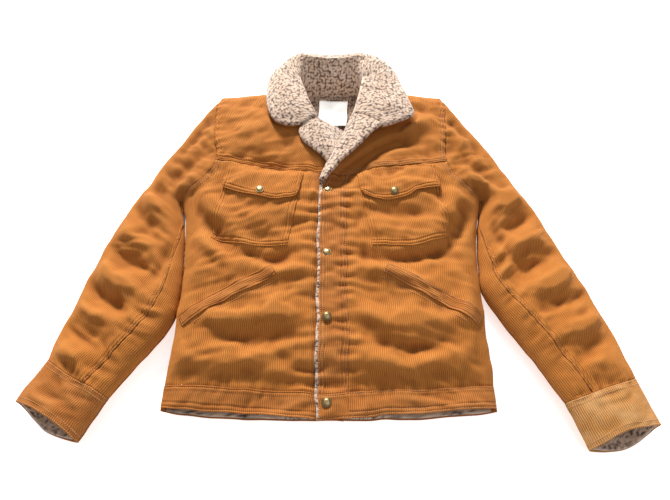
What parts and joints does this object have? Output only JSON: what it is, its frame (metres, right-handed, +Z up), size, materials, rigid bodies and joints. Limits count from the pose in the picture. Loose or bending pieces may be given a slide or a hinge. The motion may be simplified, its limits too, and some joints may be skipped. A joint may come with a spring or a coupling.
{
  "type": "fleece-lined corduroy jacket",
  "caption": "Waist-length corduroy jacket with fleece lining and collar, snap front, flap chest pockets and slanted hand pockets, lying flat on its back.",
  "frame": {"origin": "on the table, under the middle of the jacket's overall box", "axes": "+X to the wearer's left across the jacket, +Y from the hem to the collar, +Z up out of the front"},
  "size_m": [0.9732, 0.7686, 0.0715],
  "materials": {
    "corduroy": "golden-brown cotton corduroy with fine wales, soft and matt",
    "corduroy_trim": "the same corduroy on cuffs, waistband, plackets, pockets and welts, topstitched",
    "fleece": "curly cream pile fleece",
    "pocketing": "plain brown cotton pocketing",
    "label": "white woven satin label, blank",
    "brass": "antiqued brass, worn bright on the domes"
  },
  "bodies": {
    "jacket": {"back_panel": "corduroy", "back_yoke": "corduroy", "back_waistband": "corduroy_trim", "back_lining": "fleece", "right_front_panel": "corduroy", "left_front_panel": "corduroy", "right_front_yoke": "corduroy", "left_front_yoke": "corduroy", "right_placket": "corduroy_trim", "right_waistband": "corduroy_trim", "left_waistband": "corduroy_trim", "left_front_lining": "fleece", "right_front_lining": "fleece", "right_chest_pocket": "corduroy_trim", "left_chest_pocket": "corduroy_trim", "right_flap_snap_stud": "brass", "left_flap_snap_stud": "brass", "right_hand_pocket_welt": "corduroy_trim", "left_hand_pocket_welt": "corduroy_trim", "right_hand_pocket_bag": "pocketing", "left_hand_pocket_bag": "pocketing", "back_undercollar": "corduroy", "back_collar": "fleece", "left_lapel": "fleece", "right_lapel": "fleece", "neck_label": "label", "size_tab": "label", "top_snap_stud": "brass", "upper_snap_stud": "brass", "lower_snap_stud": "brass", "waistband_snap_stud": "brass"},
    "right_flap": {"right_pocket_flap": "corduroy_trim", "right_flap_snap_cap": "brass", "right_flap_snap_socket": "brass"},
    "left_flap": {"left_pocket_flap": "corduroy_trim", "left_flap_snap_cap": "brass", "left_flap_snap_socket": "brass"},
    "front_edge": {"left_placket": "corduroy_trim", "left_waistband_end": "corduroy_trim", "left_front_facing": "fleece", "top_snap_cap": "brass", "top_snap_socket": "brass", "upper_snap_cap": "brass", "upper_snap_socket": "brass", "lower_snap_cap": "brass", "lower_snap_socket": "brass", "waistband_snap_cap": "brass", "waistband_snap_socket": "brass"},
    "right_wing": {"right_collar_wing": "fleece", "right_undercollar": "corduroy"},
    "left_wing": {"left_collar_wing": "fleece", "left_undercollar": "corduroy"},
    "right_sleeve": {"right_top_sleeve": "corduroy", "right_under_sleeve": "corduroy", "right_cuff": "corduroy_trim", "right_sleeve_lining": "fleece"},
    "left_sleeve": {"left_top_sleeve": "corduroy", "left_under_sleeve": "corduroy", "left_cuff": "corduroy_trim", "left_sleeve_lining": "fleece"}
  },
  "joints": [
    {"name": "right_flap_lift", "type": "hinge", "parent": "jacket", "child": "right_flap", "pos_m": [-0.12838, 0.09131, 0.068], "axis": [-0.993, 0.1184, 0], "range_deg": [0, 120]},
    {"name": "left_flap_lift", "type": "hinge", "parent": "jacket", "child": "left_flap", "pos_m": [0.11162, 0.09131, 0.068], "axis": [-0.993, -0.1184, 0], "range_deg": [0, 120]},
    {"name": "front_edge_lift", "type": "hinge", "parent": "jacket", "child": "front_edge", "pos_m": [0.01962, -0.12869, 0.056], "axis": [0, 1, 0], "range_deg": [0, 55]},
    {"name": "right_wing_lift", "type": "hinge", "parent": "jacket", "child": "right_wing", "pos_m": [-0.03838, 0.21231, 0.057], "axis": [-0.3452, 0.9353, -0.0779], "range_deg": [0, 50]},
    {"name": "left_wing_lift", "type": "hinge", "parent": "jacket", "child": "left_wing", "pos_m": [0.04162, 0.21231, 0.057], "axis": [-0.1294, -0.9882, 0.0823], "range_deg": [0, 50]},
    {"name": "right_sleeve_swing", "type": "hinge", "parent": "jacket", "child": "right_sleeve", "pos_m": [-0.23038, 0.27931, 0.022], "axis": [0, 0, -1], "range_deg": [0, 25]},
    {"name": "left_sleeve_swing", "type": "hinge", "parent": "jacket", "child": "left_sleeve", "pos_m": [0.21362, 0.27931, 0.022], "axis": [0, 0, 1], "range_deg": [0, 25]}
  ]
}
